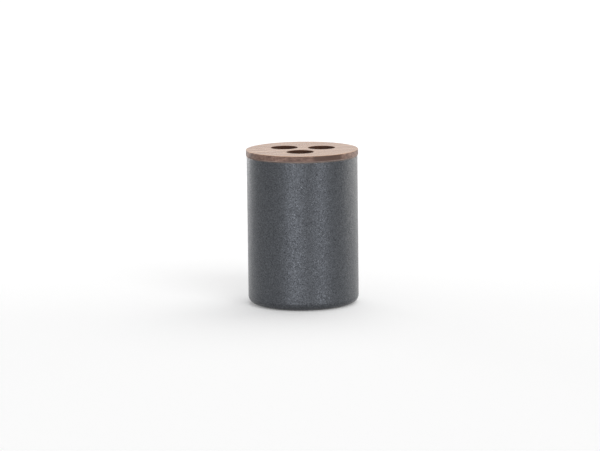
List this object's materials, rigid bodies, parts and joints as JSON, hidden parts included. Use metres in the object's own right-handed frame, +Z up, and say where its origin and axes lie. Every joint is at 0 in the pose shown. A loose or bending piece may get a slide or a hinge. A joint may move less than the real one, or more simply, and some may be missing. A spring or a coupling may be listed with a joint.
{
  "type": "toothbrush holder",
  "caption": "Cylindrical metal toothbrush holder: a drawn cup with a round wooden lid that lifts off, has round holes for the handles and seals with a silicone ring.",
  "frame": {"origin": "centre of the base pad's underside, on the table and on the cup's axis", "axes": "+Z up the cup's axis, -Y towards the pictured front, +X to the right seen from the front"},
  "size_m": [0.081, 0.081, 0.1121],
  "materials": {
    "cup_coat": "satin powder coat, dark grey with a fine metallic fleck",
    "pad_rubber": "matt black",
    "lid_wood": "open-grained walnut with a thin satin oil, darker in the holes",
    "seal_silicone": "translucent grey silicone, satin"
  },
  "bodies": {
    "cup": {"cup_shell": "cup_coat", "base_pad": "pad_rubber"},
    "seal": {"seal_ring": "seal_silicone"},
    "lid": {"lid": "lid_wood"}
  },
  "joints": [
    {"name": "lid_lift", "type": "slide", "parent": "cup", "child": "seal", "axis": [0, 0, 1], "range_m": [0, 0.05]},
    {"name": "lid_turn", "type": "hinge", "parent": "seal", "child": "lid", "pos_m": [0, 0, 0.1045], "axis": [0, 0, 1], "continuous": true}
  ]
}
